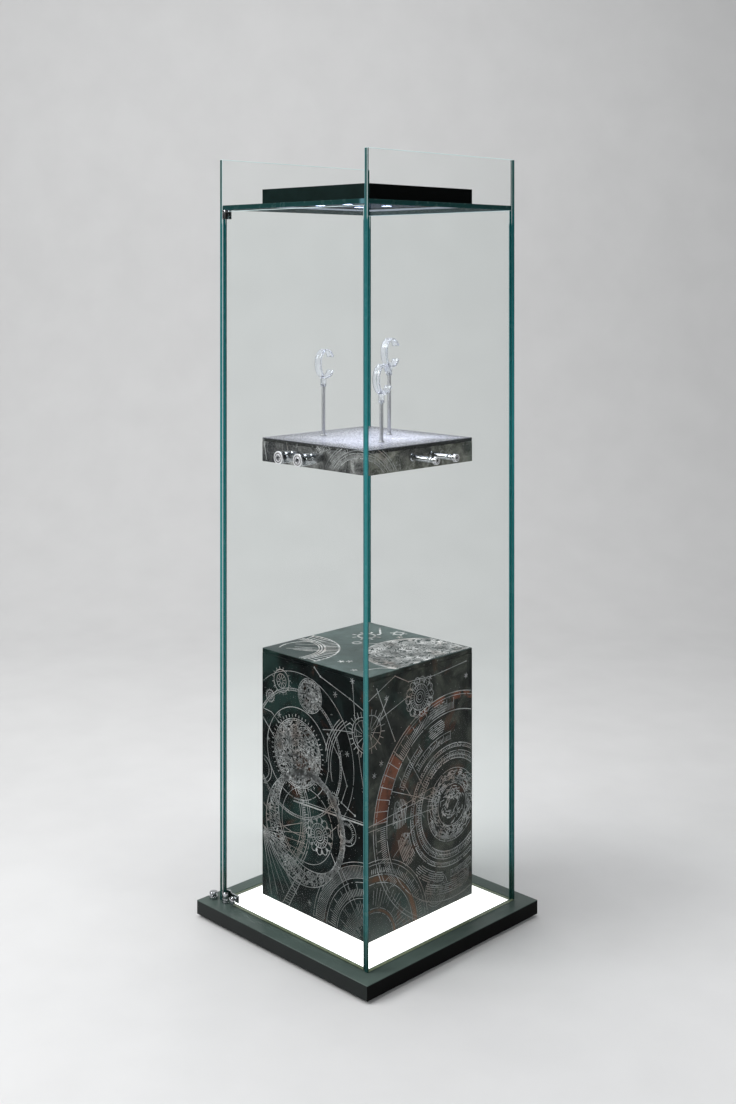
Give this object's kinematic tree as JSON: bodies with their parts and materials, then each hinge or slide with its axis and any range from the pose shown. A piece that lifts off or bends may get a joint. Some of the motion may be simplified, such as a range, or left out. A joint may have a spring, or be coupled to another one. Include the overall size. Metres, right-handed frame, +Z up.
{
  "type": "glass display showcase",
  "caption": "Tall square glass case on a lit plinth: pivoting glass door, clad pillar, floating shelf with open watch rings, and a light box on the roof.",
  "frame": {"origin": "on the floor, under the middle of the square plinth", "axes": "+Z up; the door is on the -Y side with its pivots near the -X side; the two tall panes are on +X and -X"},
  "size_m": [0.52, 0.52, 1.633],
  "materials": {
    "lacquer": "dark green-black satin lacquer",
    "opal": "white opal, lit from below",
    "steel": "brushed",
    "chrome": "polished",
    "rubber": "matt",
    "led_board": "white coated board",
    "glass": "clear, green at the edges",
    "slate": "near-black slate with silver line work and rust patches",
    "core_board": "raw board, not seen",
    "stone": "mottled grey-olive stone with pale veins",
    "shelf_face": "pale polished face",
    "acrylic": "clear",
    "black_metal": "black, satin",
    "black_plastic": "black"
  },
  "bodies": {
    "case": {"plinth_shell": "lacquer", "light_diffuser": "opal", "plinth_bottom_plate": "steel", "stem_left": "steel", "stem_right": "steel", "stem_rear": "steel", "foot_front_left": "rubber", "foot_front_right": "rubber", "foot_rear_left": "rubber", "foot_rear_right": "rubber", "led_panel": "led_board", "spot_plate": "led_board", "power_inlet": "black_plastic", "lightbox_gland": "black_plastic", "pillar_spacer": "black_metal", "lightbox_cover": "black_metal", "collar_left": "black_metal", "collar_right": "black_metal", "collar_rear": "black_metal", "pillar_core": "core_board", "shelf_core": "core_board", "pillar_slab_front": "slate", "pillar_slab_right": "slate", "pillar_slab_rear": "slate", "pillar_slab_left": "slate", "pillar_top": "slate", "shelf_case": "stone", "shelf_top": "shelf_face", "side_pane_right": "glass", "side_pane_left": "glass", "back_pane": "glass", "roof_pane": "glass", "pivot_bottom_boss": "chrome", "pivot_top_boss": "chrome", "rod_right_1": "chrome", "rod_right_2": "chrome", "rod_left_1": "chrome", "rod_left_2": "chrome", "cap_right_1": "chrome", "cap_right_2": "chrome", "cap_left_1": "chrome", "cap_left_2": "chrome", "button_bezel": "chrome"},
    "door": {"door_pane": "glass", "pivot_bottom_clamp": "chrome", "pivot_knob": "chrome", "pivot_top_clamp": "chrome", "lock_body_1": "chrome", "lock_body_2": "chrome", "lock_nut_1": "chrome", "lock_nut_2": "chrome"},
    "lock_plug_1": {"lock_plug_1": "chrome"},
    "lock_plug_2": {"lock_plug_2": "chrome"},
    "lock_bolt_1": {"lock_bolt_1": "steel"},
    "lock_bolt_2": {"lock_bolt_2": "steel"},
    "c_ring_left": {"c_ring_left": "acrylic"},
    "c_ring_right": {"c_ring_right": "acrylic"},
    "c_ring_rear": {"c_ring_rear": "acrylic"},
    "push_button": {"push_button": "chrome"}
  },
  "joints": [
    {"name": "door_hinge", "type": "hinge", "parent": "case", "child": "door", "pos_m": [-0.206, -0.221, 0.78], "axis": [0, 0, -1], "range_deg": [0, 105]},
    {"name": "lock_turn_1", "type": "hinge", "parent": "door", "child": "lock_plug_1", "pos_m": [-0.0295, -0.225, 1.0085], "axis": [0, -1, 0], "range_deg": [0, 90]},
    {"name": "bolt_slide_1", "type": "slide", "parent": "door", "child": "lock_bolt_1", "axis": [0, 1, 0], "range_m": [0, 0.014]},
    {"name": "lock_turn_2", "type": "hinge", "parent": "door", "child": "lock_plug_2", "pos_m": [0.0295, -0.225, 1.0085], "axis": [0, -1, 0], "range_deg": [0, 90]},
    {"name": "bolt_slide_2", "type": "slide", "parent": "door", "child": "lock_bolt_2", "axis": [0, 1, 0], "range_m": [0, 0.014]},
    {"name": "ring_turn_left", "type": "hinge", "parent": "case", "child": "c_ring_left", "pos_m": [-0.088, -0.047, 1.1415], "axis": [0, 0, 1], "continuous": true},
    {"name": "ring_turn_right", "type": "hinge", "parent": "case", "child": "c_ring_right", "pos_m": [0.084, -0.042, 1.1165], "axis": [0, 0, 1], "continuous": true},
    {"name": "ring_turn_rear", "type": "hinge", "parent": "case", "child": "c_ring_rear", "pos_m": [0, 0.068, 1.1645], "axis": [0, 0, 1], "continuous": true},
    {"name": "button_press", "type": "slide", "parent": "case", "child": "push_button", "axis": [0, 0, -1], "range_m": [0, 0.003], "stiffness_N_per_m": 400, "springref_m": -0.002}
  ],
  "couplings": [
    {"joint": "lock_turn_1", "follows": "bolt_slide_1", "rad_per_m": 112},
    {"joint": "lock_turn_2", "follows": "bolt_slide_2", "rad_per_m": 112}
  ]
}
